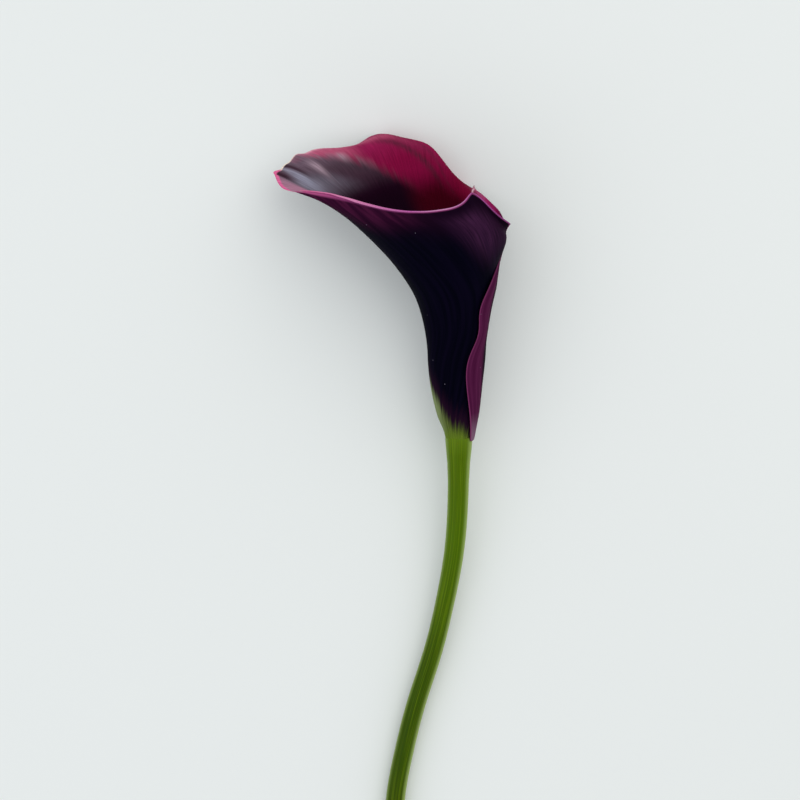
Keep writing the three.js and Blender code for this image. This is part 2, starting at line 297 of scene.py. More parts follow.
spathe = {
    # the tube is a spiral in cross-section. For each level: its centre, lean, half width and height, the angles where
    # its outer and inner margin stand, and how far it rolls in
    "tube": [
        (0.0, (-0.2, 0, 16), 7, (5.2, 5.2), (40, 20), 1.2),
        (0.07, (-0.9, 9, 17.2), 8, (7.6, 7.4), (54, 5), 1.7),
        (0.15, (-1.6, 21, 19.2), 10, (9.6, 9.3), (66, -20), 1.9),
        (0.24, (-1.6, 34, 21.7), 12, (10.8, 10.5), (65, -35), 2),
        (0.31, (-1.7, 43, 23.7), 13, (11.7, 11.2), (46, -45), 2.1),
        (0.38, (-2.1, 52, 25.8), 14, (13.5, 12.7), (49, -48), 2.2),
        (0.46, (-3.2, 61, 28.2), 15, (16.5, 15.1), (38, -38), 2.3),
    ],
    # chains across the limb, from the outer margin under the flower and over the midrib to the inner margin
    "chains": [
        {"level": 0.62, "midrib": 7, "points": [
            (17.4, 75.5, 28), (15.9, 77.6, 21.8), (11.4, 81, 16), (4, 84, 12), (-6, 87, 9.5), (-20, 90, 11),
            (-32, 87.5, 16.5), (-36.6, 82.9, 25), (-35.6, 79.6, 32), (-24, 74.4, 45.5), (-7, 73.5, 51.5),
            (6, 73.5, 49), (13, 74.5, 43), (16.4, 75, 37), (16.9, 75.3, 32), (15.9, 75.8, 26.5)]},
        {"level": 0.87, "midrib": 12, "points": [
            (18, 81.5, 27.2), (16.6, 86, 20.5), (9.5, 94, 13.2), (0.5, 102.8, 9.3), (-7, 111.7, 9),
            (-12.1, 117.5, 9.5), (-20, 119.8, 10), (-28, 120.6, 11), (-35.5, 117.5, 14), (-45, 114, 16.5),
            (-54, 111, 18.5), (-60.5, 107.4, 20.5), (-63.8, 104, 22.5), (-62.2, 99.4, 27.2), (-54.8, 94, 35.4),
            (-36.3, 88, 49), (-14, 84, 57), (0, 85, 57.5), (8, 86.8, 52.5), (14, 84.8, 45), (18.4, 82.3, 32.5)]},
        {"level": 1, "midrib": 14, "points": [
            (18.2, 86.3, 28), (15.5, 91.2, 18), (11, 96.5, 10), (6.2, 100.6, 3.4), (0, 103.3, -1.8),
            (-9, 108.5, -2.6), (-19.5, 114.5, -2.6), (-28, 118.6, -1.8), (-34, 122.3, 2.4), (-40.6, 118.4, 7),
            (-48, 116.6, 10), (-60, 115.6, 13), (-67, 112.6, 15), (-70.6, 109.2, 16.7), (-71.7, 106.6, 17.6),
            (-74.3, 107.1, 20.3), (-73.2, 103, 22), (-69.5, 99.2, 25), (-61.5, 98, 30), (-50.5, 96.4, 39),
            (-40, 93.2, 48), (-22.8, 88.9, 58), (-8, 89, 61.5), (0.6, 92, 60.5), (3.7, 94.9, 58), (12, 90, 51),
            (19.8, 84.5, 42)]},
    ],
    "thickness": 1.0,
    "edgeShare": 0.5,  # the share of the thickness that is left at the free edge
    "edgeTaper": 4.0,  # over this many mm
    # place across, half width and rise of each fold that runs out to the tip
    "folds": [(0.446, 0.008, -0.5), (0.4615, 0.007, 0.6), (0.478, 0.008, -1.0), (0.5, 0.01, 1.1), (0.52, 0.01, -1.2)],
    "foldStart": 0.68,
    # the soft ripples up the sheet: height, noise cells across and up, the noise's layer, and where they set in
    "ripple": {"height": 0.16, "cells": (46, 3.2), "layer": 0.7, "setIn": (0.02, 0.3)},
    "cornerWidth": 0.035, "cornerDepth": 3.2,  # share across and mm of the corner that is rounded off the outer margin
    # the foot keeps to the stem's neck and is tucked in and down, by mm, up to these levels, but not at its free margin
    "foot": {"neckEnd": 0.06, "tuckEnd": 0.03, "tuckIn": 0.25, "tuckDown": 1.1, "freeTo": (0.09, 0.15)},
    # small sharp points on the rim: place across, half width, reach in mm, and gap between the columns that form it
    "points": [
        {"across": 0.124, "width": 0.004, "reach": (0.1, 2.0, 0.6), "gap": 0.0015},
        {"across": 0.903, "width": 0.026, "reach": (0.0, 1.0, 0.2), "gap": 0.003},
    ],
    # how many columns and rows, and the place where they crowd, with its width and gain
    "columns": (160, 0.49, 0.05, 3.5),
    "rows": (56, 1, 0.2, 1.0),
    "lipRows": 7,
    "lipStart": 0.99,  # where the rolled lip starts in the UV map
    # the veins' lean along the far rim, and the level that it is counted from
    "slant": (0.77, 0.78),
    # the boundary of the dusk: place across, a shift near the rim between two levels, and how fast it moves over below
    "dusk": {"across": 0.455, "shift": 0.015, "shiftLevels": (0.86, 0.96), "arch": 1.4},
    # mm of pale band along the free edges, partly the margin's own pink and partly a painted highlight where the thin
    # rolled edge catches the light, and the radius of the rolled lip, at places across
    "lipBand": [(0, 0.3), (0.47, 0.35), (0.49, 0.6), (0.505, 1.6), (0.525, 2.0), (0.56, 2.2), (0.6, 3.0),
                (0.65, 3.0), (0.7, 2.4), (0.74, 1.8), (0.8, 0.9), (0.9, 0.5), (1, 0.4)],
    "lipRadius": [(0, 0.5), (0.58, 0.5), (0.63, 0.6), (0.7, 0.8), (0.75, 0.6), (0.8, 0.42), (0.86, 0.32), (1, 0.32)],
    # how high up the sheet the green of its base reaches, at places across
    "green": [(0, -0.05), (0.1, 0.0), (0.13, 0.06), (0.25, 0.1), (0.45, 0.14), (0.58, 0.16), (0.64, 0.12),
              (0.68, 0.082), (0.75, 0.045), (0.83, 0.038), (0.93, 0.01), (1, 0.0)],
    # how far the lip curls outwards, in degrees, at places across
    "lipCurl": [(0, 40), (0.05, 60), (0.12, 45), (0.2, 15), (0.44, 15), (0.485, 20), (0.5, 50), (0.512, 75), (0.56, 85),
                (0.62, 105), (0.67, 130), (0.72, 140), (0.8, 105), (0.9, 85), (1, 60)],
}


# the value at a place, on straight lines between pairs of place and value
def mixPairs(pairs, place):
    for (low, start), (high, end) in zip(pairs, pairs[1:]):
        if place <= high:
            return start + (end - start) * (place - low) / (high - low)
    return pairs[-1][1]


# a point of the tube, from its outer margin at 0 to its inner margin at 1
def ringPoint(ring, across):
    _, (x, y, z), tilt, half, margins, roll = ring
    start, end = math.radians(margins[0]), math.radians(margins[1] - 360)
    angle = start + (end - start) * across
    out = roll * (0.5 - across)
    sideways = (half[0] + out) * math.cos(angle)
    upright = (half[1] + out) * math.sin(angle)
    return [x + sideways, y - upright * math.sin(math.radians(tilt)), z + upright * math.cos(math.radians(tilt))]


# a chain as a smooth line, with its midrib at 0.5
def chainSpline(chain):
    points = [Vector(p) for p in chain["points"]]
    run = [0.0]
    for a, b in zip(points, points[1:]):
        run.append(run[-1] + (b - a).length)
    half, whole = run[chain["midrib"]], run[-1]
    knots = [0.5 * way / half if way <= half else 0.5 + 0.5 * (way - half) / (whole - half) for way in run]
    return splineThrough(knots, chain["points"])


# the outward direction at each point of a grid of rows
def outwardOf(rows):
    facing = []
    for j, row in enumerate(rows):
        below, above = rows[max(0, j - 1)], rows[min(len(rows) - 1, j + 1)]
        facing.append([(row[min(len(row) - 1, i + 1)] - row[max(0, i - 1)]).cross(above[i] - below[i]).normalized()
                       for i in range(len(row))])
    return facing


# the middle of the sheet as rows of points, from its foot up to the rolled lip
def spatheRows():
    chainAt = [(chain["level"], chainSpline(chain)) for chain in spathe["chains"]]
    levels = [ring[0] for ring in spathe["tube"]] + [level for level, _ in chainAt]
    extra = [point["across"] + point["gap"] * k for point in spathe["points"] for k in (-2, -1, 0, 1, 2)]
    placesAcross = sorted(crowdedPlaces(*spathe["columns"]) + extra)
    share = crowdedPlaces(*spathe["rows"])
    lipRows, lipStart, ripple, foot = spathe["lipRows"], spathe["lipStart"], spathe["ripple"], spathe["foot"]
    stepDown = 0.002  # of a level
    ribs, lipLevels = [], []
    for across in placesAcross:
        points = [ringPoint(ring, across) for ring in spathe["tube"]] + [at(across) for _, at in chainAt]
        rib = splineThrough(levels, points)
        ribs.append(rib)
        level, way = 1.0, 0.0
        corner = spathe["cornerDepth"] * max(0, 1 - across / spathe["cornerWidth"]) ** 2
        while way < mixPairs(spathe["lipRadius"], across) + corner:
            way += (Vector(rib(level)) - Vector(rib(level - stepDown))).length
            level -= stepDown
        lipLevels.append(level)
    rows = [[Vector(rib(s * end)) for rib, end in zip(ribs, lipLevels)] for s in share]
    facing = outwardOf(rows)
    rest = spathe["thickness"] / 2
    for j, row in enumerate(rows):
        for i, point in enumerate(row):
            across, level = placesAcross[i], share[j] * lipLevels[i]
            rise = sum(height * bump(across, at, half) for at, half, height in spathe["folds"])
            rise *= smoothstep(spathe["foldStart"], 1, level)
            cell = Vector((across * ripple["cells"][0], level * ripple["cells"][1], ripple["layer"]))
            out = ripple["height"] * (noise.noise(cell) * smoothstep(*ripple["setIn"], level)) - rise
            spoke = point - (baseTop + baseAxis * (point - baseTop).dot(baseAxis))
            tuck = 1 - smoothstep(0, foot["tuckEnd"], level)
            neck = (1 - smoothstep(0, foot["neckEnd"], level)) * smoothstep(*foot["freeTo"], across)
            out += neck * (stem["radii"][0][1] - rest - foot["tuckIn"] * tuck - spoke.length)
            rows[j][i] = point + facing[j][i] * out - baseAxis * foot["tuckDown"] * tuck
    facing = outwardOf(rows)
    along = [(top - under).normalized() for top, under in zip(rows[-1], rows[-2])]
    for k in range(1, lipRows + 1):
        lip = []
        for i, start in enumerate(rows[len(share) - 1]):
            angle = math.radians(mixPairs(spathe["lipCurl"], placesAcross[i])) * k / lipRows
            radius = mixPairs(spathe["lipRadius"], placesAcross[i])
            out = facing[-1][i]
            point = start + along[i] * radius * math.sin(angle) + out * radius * (1 - math.cos(angle))
            for spur in spathe["points"]:
                point += Vector(spur["reach"]) * cusp(placesAcross[i], spur["across"], spur["width"]) * k / lipRows
            lip.append(point)
        rows.append(lip)
    for row in rows:
        for point in row:
            point.z = max(point.z, rest)
    placesUp = [s * lipStart for s in share]
    placesUp += [lipStart + (1 - lipStart) * k / lipRows for k in range(1, lipRows + 1)]
    return rows, placesAcross, placesUp


# for each point of the sheet, how far it is from the nearest free edge, and from the outer margin, in mm
def edgeWays(rows):
    count, wide = len(rows), len(rows[0])
    fromRim = [[0.0] * wide for _ in rows]
    for j in range(count - 2, -1, -1):
        for i in range(wide):
            fromRim[j][i] = fromRim[j + 1][i] + (rows[j][i] - rows[j + 1][i]).length
    nearest, fromOuter = [], []
    for j, row in enumerate(rows):
        run = [0.0]
        for a, b in zip(row, row[1:]):
            run.append(run[-1] + (b - a).length)
        nearest.append([min(fromRim[j][i], run[i], run[-1] - run[i]) for i in range(wide)])
        fromOuter.append(run)
    return nearest, fromOuter


# a way across that keeps to the veins where they slant along the far rim
def slantAt(across, level):
    drift, start = spathe["slant"]
    return across - drift * (level - start)


# how far across a place lies beyond the boundary of the dusk
def duskAt(across, level):
    dusk = spathe["dusk"]
    start = across - dusk["across"] - dusk["shift"] * smoothstep(*dusk["shiftLevels"], level)
    return start + dusk["arch"] * (1 - level) ** 2


# where each marking, painted highlight, painted sheen and painted shade lies on the sheet, from its place across and
# its
# level: shares from 0 to 1, and two ways that are 0 on a boundary: dusk where the crimson of the inner face ends, and
# green where the base's green ends
sheetMarks = {
    "dusk": duskAt,
    # a painted grey-lilac sheen on the dusk, fanning out of the tip, as of the light's reflection
    "sheen": lambda u, v: smoothstep(0.69, 0.8, v) * smoothstep(0.04, 0.095, duskAt(u, v))
    * (1 - 0.6 * bump(u, 0.478, 0.009) * smoothstep(0.88, 0.98, v)),
    # the sheet's rosy colour towards the tip, and a painted highlight in a slanting band along the far rim
    "pinkAndHighlight": lambda u, v: min(1, smoothstep(0.365, 0.4, u)
                             + bump(slantAt(u, v), 0.24, 0.026) * smoothstep(0.76, 0.8, v)),
    # painted highlights along the crests of two folds near the tip
    "crestHighlight": lambda u, v: 0.8 * bump(u, 0.464, 0.0055) * bump(v, 0.85, 0.05)
    + 0.6 * bump(u, 0.412, 0.006) * bump(v, 0.86, 0.03),
    # a painted blue-grey highlight along the midrib ridge, as of the surroundings' reflection, widening down from the
    # tip
    "ridge": lambda u, v: 0.8 * bump(u, 0.497 + 0.04 * (1 - v), 0.005 + 0.035 * (1 - v)) * smoothstep(0.73, 0.84, v),
    # painted shade in the two grooves on either side of the midrib ridge
    "grooveShade": lambda u, v: bump(u, 0.4885, 0.004) * smoothstep(0.78, 0.92, v)
    + bump(u, 0.5135, 0.007) * smoothstep(0.85, 0.94, v),
    "nearSide": lambda u, v: smoothstep(0.518, 0.54, u) * smoothstep(0.78, 0.9, v),
    "mist": lambda u, v: smoothstep(-0.04, -0.003, duskAt(u, v)) * (0.08 + 0.47 * smoothstep(0.345, 0.4, u)),
    # the throat is painted near-black below these levels, partly its own dark colour and partly painted shade deep in
    # the tube
    "deep": lambda u, v: 1 - smoothstep(0.66 - 0.05 * smoothstep(0.55, 0.68, u),
                                        0.74 + 0.11 * smoothstep(0.55, 0.68, u),
                                        v - 0.035 * (1 - smoothstep(0.22, 0.29, u))),
    "fade": lambda u, v: (bump(slantAt(u, v), 0.268, 0.012) + 0.6 * bump(slantAt(u, v), 0.217, 0.007))
    * smoothstep(0.67, 0.74, v) * (1 - smoothstep(0.83, 0.9, v)),
    "red": lambda u, v: (1 - smoothstep(0.16, 0.25, u)) * (1 - smoothstep(0.9, 0.97, v)),
    # a painted highlight along the short crease under the spur on the far rim
    "creaseHighlight": lambda u, v: bump(u, 0.124, 0.0016) * smoothstep(0.84, 0.9, v),
    # the lobe past the spur is painted lighter, where it turns to face the light
    "litLobe": lambda u, v: (1 - smoothstep(0.1, 0.13, u)) * smoothstep(0.86, 0.95, v),
    "glow": lambda u, v: 1 - smoothstep(0.27, 0.34, u),
    "blush": lambda u, v: (1 - smoothstep(0.7, 0.85, u)) * smoothstep(0, 0.2, v - 0.56 - 1.5 * max(0, u - 0.64)),
    "limb": lambda u, v: 0.6 * smoothstep(0.58, 0.8, v),
    # a painted sheen patch: the broad soft highlight on the right of the outer limb
    "sheenPatch": lambda u, v: smoothstep(0.8, 0.885, u) * (1 - 0.5 * smoothstep(0.87, 0.93, u))
    * smoothstep(0.5, 0.7, v) * (1 - smoothstep(0.84, 0.97, v)),
    "green": lambda u, v: v - mixPairs(spathe["green"], u),
    # a painted sheen, pale grey-green, along the tube's left edge near the base
    "edgeSheen": lambda u, v: bump(u, 0.6, 0.07),
    "tail": lambda u, v: 1 - smoothstep(0.0, 0.09, v),
    "foot": lambda u, v: 1 - smoothstep(0.0, 0.045, v),
}

# the colours of the free edge along the sheet, from the outer margin past the cream tip to the inner margin: partly the
# margin's own pink and cream, partly a painted highlight where the thin edge catches the light
rimStops = [(0, "#66264e"), (1, "#8a3c7c"), (0.13, "#8c3058"), (0.22, "#b05878"), (0.32, "#c47a92"), (0.44, "#c88898"),
            (0.462, "#dcb4b4"), (0.478, "#eedfcf"), (0.502, "#eadacb"), (0.507, "#dc6896"), (0.6, "#d86698"),
            (0.68, "#da86b2"), (0.74, "#c472a4"), (0.8, "#b85ca0"), (0.85, "#cc88b4"), (0.91, "#a44c94")]

# calla spathe, outer face: a velvety black with a breath of violet, plum under the lip, a painted sheen patch on the
# right of the limb and a painted sheen along the tube's left edge, and fine veins up the sheet
outerFace, tree, shader = newMaterial("callaSpatheOuter")
uv = addNode(tree, "UVMap", {"uv_map": "UVMap"}).outputs["UV"]
# what is made so far, by name, from the sheet's marks on, painted sheen among them
made = {name: addNode(tree, "Attribute", {"attribute_name": name}).outputs["Fac"]
        for name in ("edge", "rim", "lap", "blush", "limb", "sheenPatch", "green", "edgeSheen", "tail", "foot")}
made["across"] = addNode(tree, "SeparateXYZ", inputs={"Vector": uv}).outputs["X"]
# noise drawn out up the sheet, which is 250 mm wide: veins 0.6 mm apart, in bands of 4 mm
for name, cells, detail in (("veins", (420, 5, 1), 5), ("bands", (60, 3, 1), 3)):
    drawnOut = addNode(tree, "Mapping", inputs={"Vector": uv, "Scale": cells}).outputs[0]
    made[name] = addNode(tree, "TexNoise", inputs={"Vector": drawnOut, "Scale": 1, "Detail": detail}).outputs["Fac"]
made["worn"] = addNode(tree, "Math", {"operation": "MULTIPLY_ADD"},
                       {0: made["bands"], 1: 0.09, 2: made["green"]}).outputs[0]
# a few pale specks, 0.3 mm across, in one of 14 cells of 2.4 mm
place = addNode(tree, "TexCoord").outputs["Object"]
grains = addNode(tree, "TexVoronoi", inputs={"Vector": place, "Scale": 420})
lot = addNode(tree, "SeparateColor", inputs={"Color": grains.outputs["Color"]}).outputs[0]
made["rare"] = addNode(tree, "Math", {"operation": "GREATER_THAN"}, {0: lot, 1: 0.93}).outputs[0]
made["grain"] = grains.outputs["Distance"]
# each ramp: what it follows, where it starts and ends, and the shares that it runs between
for name, source, start, end, low, high in (
    ("lined", "veins", 0.36, 0.66, 0, 1), ("banded", "bands", 0.36, 0.66, 0, 1), ("nearRim", "edge", 34, 2, 0, 1),
    ("dustAndSheenVeins", "veins", 0.3, 0.7, 0.35, 1), ("flap", "lap", 12, 7, 0, 1), ("lip", "rim", 2, 0.8, 0, 1),
    ("greened", "worn", 0.07, 0.02, 0, 1), ("plumZone", "worn", 0.12, 0.06, 0, 0.85),
    ("small", "grain", 0.1, 0.05, 0, 0.5),
):
    course = "LINEAR" if name == "small" else "SMOOTHSTEP"
    made[name] = addNode(tree, "MapRange", {"interpolation_type": course},
                         {"Value": made[source], "From Min": start, "From Max": end, "To Min": low,
                          "To Max": high}).outputs["Result"]
# the painted sheen patch on the right of the limb is streaked along the veins here
for name, one, other in (("plumShare", "nearRim", "blush"), ("sheenPatchShare", "dustAndSheenVeins", "sheenPatch"),
                         ("limbShare", "nearRim", "limb"), ("tailShare", "flap", "tail"), ("speck", "rare", "small")):
    made[name] = addNode(tree, "Math", {"operation": "MULTIPLY"}, {0: made[one], 1: made[other]}).outputs[0]
made["lipTone"] = addNode(tree, "ValToRGB", inputs={"Fac": made["across"]},
                          stops=[(0, "#7c3260"), (1, "#7c3260"), (0.2, "#a04c6e"), (0.44, "#c08090"),
                                 (0.5, "#cc6490"), (0.7, "#9a427e")]).outputs[0]
# tones that are mixed from two others
for name, share, one, other in (
    ("plum", "banded", "#2e0925", "#481535"), ("flapTone", "banded", "#441134", "#571e44"),
    # the base's green with the painted sheen of the tube's left edge on it
    ("greenTone", "lined", "#34460a", "#646f36"), ("greenWithSheen", "edgeSheen", "greenTone", "#7c895c"),
    ("footTone", "lined", "#486010", "#768e2a"), ("greenFoot", "foot", "greenWithSheen", "footTone"),
    ("ground", "banded", "#03030e", "#080516"),
):
    made[name] = addNode(tree, "Mix", colorMix,
                         {0: made[share], 6: made.get(one, one), 7: made.get(other, other)}).outputs[2]
color = made["ground"]
for share, over in (("limbShare", "#1c061a"), ("plumShare", "plum"), ("sheenPatchShare", "#422040"),
                    ("plumZone", "#220c20"), ("greened", "greenFoot"), ("flap", "flapTone"),
                    ("tailShare", "#7c5c72"), ("lip", "lipTone"), ("speck", "#9c94a8")):
    color = addNode(tree, "Mix", colorMix, {0: made[share], 6: color, 7: made.get(over, over)}).outputs[2]
relief = addNode(tree, "Bump", inputs={"Height": made["veins"], "Strength": 0.25, "Distance": 0.1 * mm})
fillInputs(tree, shader, {"Base Color": color, "Roughness": 0.55, "IOR": 1.4, "Specular IOR Level": 0.01,
                          "Normal": relief.outputs[0]})

# calla spathe, inner face: velvety crimson that turns dusky towards the midrib, with a painted grey-lilac sheen that
# fans out of the tip, painted highlights on the fold crests, the midrib ridge, a crease and a lobe by the rim and a
# band along the far rim, painted shade in the grooves, a throat painted almost black, partly its own dark colour and
# partly painted shade, and fine flecks along the veins
innerFace, tree, shader = newMaterial("callaSpatheInner")
uv = addNode(tree, "UVMap", {"uv_map": "UVMap"}).outputs["UV"]
placed = addNode(tree, "SeparateXYZ", inputs={"Vector": uv})
made = {name: addNode(tree, "Attribute", {"attribute_name": name}).outputs["Fac"]
        for name in ("edge", "rim", "dusk", "sheen", "crestHighlight", "ridge", "grooveShade", "nearSide", "fade", "red", "glow",
                     "litLobe", "creaseHighlight", "mist", "deep", "pinkAndHighlight", "green")}
made["across"], made["up"] = placed.outputs["X"], placed.outputs["Y"]
# veins 0.8 mm apart, bands of 2.5 mm, and flecks 0.5 mm wide and 11 mm long
for name, start, cells, detail, rough in (("veins", (0, 0, 0), (300, 5, 1), 6, 0.65),
                                          ("bands", (3, 7, 0), (100, 2.2, 1), 3, 0.5),
                                          ("flecks", (0, 0, 0), (480, 12, 1), 3, 0.5)):
    drawnOut = addNode(tree, "Mapping", inputs={"Vector": uv, "Location": start, "Scale": cells}).outputs[0]
    made[name] = addNode(tree, "TexNoise",
                         inputs={"Vector": drawnOut, "Scale": 1, "Detail": detail, "Roughness": rough}).outputs["Fac"]
for name, amount, source in (("ragged", 0.03, "dusk"), ("worn", 0.09, "green")):
    made[name] = addNode(tree, "Math", {"operation": "MULTIPLY_ADD"},
                         {0: made["bands"], 1: amount, 2: made[source]}).outputs[0]
for name, source, start, end, low, high in (
    ("lined", "veins", 0.34, 0.68, 0, 1), ("banded", "bands", 0.4, 0.68, 0, 1), ("dusky", "ragged", -0.018, 0.03, 0, 1),
    ("greened", "worn", 0.07, 0.02, 0, 1), ("lip", "rim", 1.3, 0.8, 0, 1), ("inwards", "edge", 0, 20, 0, 1),
    ("streaked", "lined", 0, 1, 0.45, 0.85), ("litLobeShare", "across", 0.08, 0.12, 0, 1),
    ("glint", "veins", 0.3, 0.7, 0.5, 1), ("fleckTone", "flecks", 0.3, 0.7, 0.8, 1.22),
):
    course = "SMOOTHSTEP" if name in ("lined", "banded", "dusky", "greened", "lip") else "LINEAR"
    made[name] = addNode(tree, "MapRange", {"interpolation_type": course},
                         {"Value": made[source], "From Min": start, "From Max": end, "To Min": low,
                          "To Max": high}).outputs["Result"]
for name, one, other in (("faded", "fade", "streaked"), ("mauve", "mist", "banded"), ("sheenShare", "sheen", "glint"),
                         ("ridgeHighlightShare", "ridge", "glint"), ("crestHighlightShare", "crestHighlight", "glint"),
                         ("redShare", "red", 0.75)):
    made[name] = addNode(tree, "Math", {"operation": "MULTIPLY"}, {0: made[one], 1: made.get(other, other)}).outputs[0]
for name, source, stops in (
    ("crimson", "inwards", [(0, "#e2a4b4"), (1, "#860e3e"), (0.045, "#b86080"), (0.09, "#942e56"), (0.22, "#8a1e4c"),
                            (0.45, "#8c1a4a")]),
    ("rosy", "inwards", [(0, "#ecb8c4"), (1, "#84103a"), (0.06, "#c87490"), (0.12, "#b85c7a"), (0.3, "#ae4c6c"),
                         (0.55, "#943656"), (0.8, "#801c44")]),
    # the dusk is painted darker down towards the throat, partly painted shade
    ("duskTone", "up", [(0.69, "#26091e"), (0.91, "#685462"), (0.76, "#46303e"), (0.82, "#4e3b47")]),
    ("rimTone", "across", rimStops),
):
    made[name] = addNode(tree, "ValToRGB", inputs={"Fac": made[source]}, stops=stops).outputs[0]
# the painted lit lobe's tone, lighter towards the spur
for name, share, one, other in (("litLobeTone", "litLobeShare", "#8e1a54", "#a24c74"),
                                # the throat's near-black, partly painted shade, redder towards the outer margin
                                ("throat", "glow", "#180414", "#420214")):
    made[name] = addNode(tree, "Mix", colorMix, {0: made[share], 6: one, 7: other}).outputs[2]
color = made["crimson"]
for share, over in (("pinkAndHighlight", "rosy"), ("redShare", "#5e001a"), ("litLobe", "litLobeTone"), ("creaseHighlight", "#dcb0c0"),
                    ("faded", "#40222f"), ("mauve", "#b88c9e"), ("dusky", "duskTone"), ("sheenShare", "#74707e"),
                    ("ridgeHighlightShare", "#9c9cb0"), ("crestHighlightShare", "#bea4b2"), ("grooveShade", "#3a2430"),
                    ("nearSide", "#a4748a"), ("deep", "throat"), ("greened", "#7f9245"), ("lip", "rimTone")):
    color = addNode(tree, "Mix", colorMix, {0: made[share], 6: color, 7: made.get(over, over)}).outputs[2]
color = addNode(tree, "HueSaturation", inputs={"Color": color, "Value": made["fleckTone"]}).outputs[0]
relief = addNode(tree, "Bump", inputs={"Height": made["veins"], "Strength": 0.35, "Distance": 0.1 * mm})
fillInputs(tree, shader, {"Base Color": color, "Roughness": 0.5, "IOR": 1.4, "Specular IOR Level": 0.012,
                          "Normal": relief.outputs[0]})

# the cut through the sheet at its free edge, pale where the light comes through: a thin pink line, cream at the tip,
# with a grain of 1.5 mm
edgeFace, tree, shader = newMaterial("callaSpatheRim")
uv = addNode(tree, "UVMap", {"uv_map": "UVMap"}).outputs["UV"]
across = addNode(tree, "SeparateXYZ", inputs={"Vector": uv}).outputs["X"]
rimColor = addNode(tree, "ValToRGB", inputs={"Fac": across}, stops=rimStops)
grainPlace = addNode(tree, "Mapping", inputs={"Vector": uv, "Scale": (160, 160, 1)})
grain = addNode(tree, "TexNoise", inputs={"Vector": grainPlace.outputs[0], "Scale": 1, "Detail": 2})
tone = addNode(tree, "MapRange", inputs={"Value": grain.outputs["Fac"], "To Min": 0.8, "To Max": 1.15})
toned = addNode(tree, "HueSaturation", inputs={"Color": rimColor.outputs[0], "Value": tone.outputs["Result"]})
fillInputs(tree, shader, {"Base Color": toned.outputs[0], "Roughness": 0.5, "IOR": 1.4, "Specular IOR Level": 0.2})

rows, placesAcross, placesUp = spatheRows()
nearest, fromOuter = edgeWays(rows)
spathePiece, spots = shapedGrid("spatheSheet", rows, placesAcross, placesUp)
addAttribute(spathePiece, "edge", [nearest[j][i] for i, j in spots])
addAttribute(spathePiece, "rim", [nearest[j][i] / mixPairs(spathe["lipBand"], placesAcross[i]) for i, j in spots])
addAttribute(spathePiece, "lap", [fromOuter[j][i] for i, j in spots])
for name, shareAt in sheetMarks.items():
    addAttribute(spathePiece, name, [shareAt(placesAcross[i], placesUp[j]) for i, j in spots])
wall = spathePiece.vertex_groups.new(name="wall")
left = spathe["edgeShare"]
for index, (i, j) in enumerate(spots):
    wall.add([index], left + (1 - left) * smoothstep(0, spathe["edgeTaper"], nearest[j][i]), "REPLACE")

for material in (outerFace, innerFace, edgeFace):
    spathePiece.data.materials.append(material)
solidify = spathePiece.modifiers.new("wall", "SOLIDIFY")
solidify.thickness = spathe["thickness"] * mm
solidify.offset = 0
solidify.vertex_group = "wall"
solidify.material_offset = 1
solidify.material_offset_rim = 2
smooth = spathePiece.modifiers.new("smooth", "SUBSURF")
smooth.levels = smooth.render_levels = 1
applyAll(spathePiece)
deselectAll()
spathePiece.select_set(True)
bpy.ops.object.shade_smooth()
for vertex in spathePiece.data.vertices:
    vertex.co.z = max(vertex.co.z, 0)
print("spathe shaped with", len(spathePiece.data.polygons), "faces")
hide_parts("spathe")
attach(spathePiece, "root")

# the stem


# the stem as rings of points, from its cut end up to the core inside the spathe
def stemRows():
    knots = [-y for _, y in stem["line"]]
    sidewaysAt = splineThrough(knots, [[x] for x, _ in stem["line"]])
    radii, layFrom, ridge, topEdge = stem["radii"], stem["layFrom"], stem["ridge"], stem["topEdge"]
    reach, topHeight = knots[-1], stem["top"][2]
    restHeight = mixPairs(radii, layFrom) * stem["lyingShare"]

    def centreAt(down):
        lift = max(0, 1 - down / layFrom) ** 2
        lying = mixPairs(radii, down) * stem["lyingShare"] if down > layFrom else restHeight
        return Vector((sidewaysAt(down)[0], -down, lying + (topHeight - restHeight) * lift))

    rings = []  # centre, axis, radius, distance below the bloom's base
    cutAxis = (centreAt(reach - 1) - centreAt(reach)).normalized()
    for share, depth in stem["cutProfile"]:
        rings.append((centreAt(reach) + cutAxis * depth, cutAxis, mixPairs(radii, reach) * share, reach))
    for step in range(stem["steps"] + 1):
        down = max(topEdge, reach * (1 - step / stem["steps"]) - (stem["cutEdge"] if step == 0 else 0))
        axis = (centreAt(max(0, down - 0.5)) - centreAt(down + 0.5)).normalized()
        rings.append((centreAt(down), axis, mixPairs(radii, down), down))
    rings[-1] = (baseTop - baseAxis * topEdge, baseAxis, radii[0][1], topEdge)
    for way, radius in stem["topProfile"]:
        rings.append((baseTop + baseAxis * way, baseAxis, radius, 0))
    rows = []
    for centre, axis, radius, down in rings:
        sideways = Vector((axis.y, -axis.x, 0)).normalized()
        upright = sideways.cross(axis)
        row = []
        for i in range(stem["sides"] + 1):
            angle = -2 * math.pi * (i % stem["sides"]) / stem["sides"]
            spoke = Vector((math.cos(angle), math.sin(angle), 0))
            cell = Vector((spoke.x * ridge["round"], spoke.y * ridge["round"], down * ridge["along"]))
            swell = noise.noise(cell) * ridge["height"] if down > 0 else 0
            reachOut = radius + swell * min(1, radius / ridge["fullRadius"])
            point = centre + (sideways * spoke.x + upright * spoke.y) * reachOut
            point.z = max(point.z, 0)
            row.append(point)
        rows.append(row)
    return rows, rings


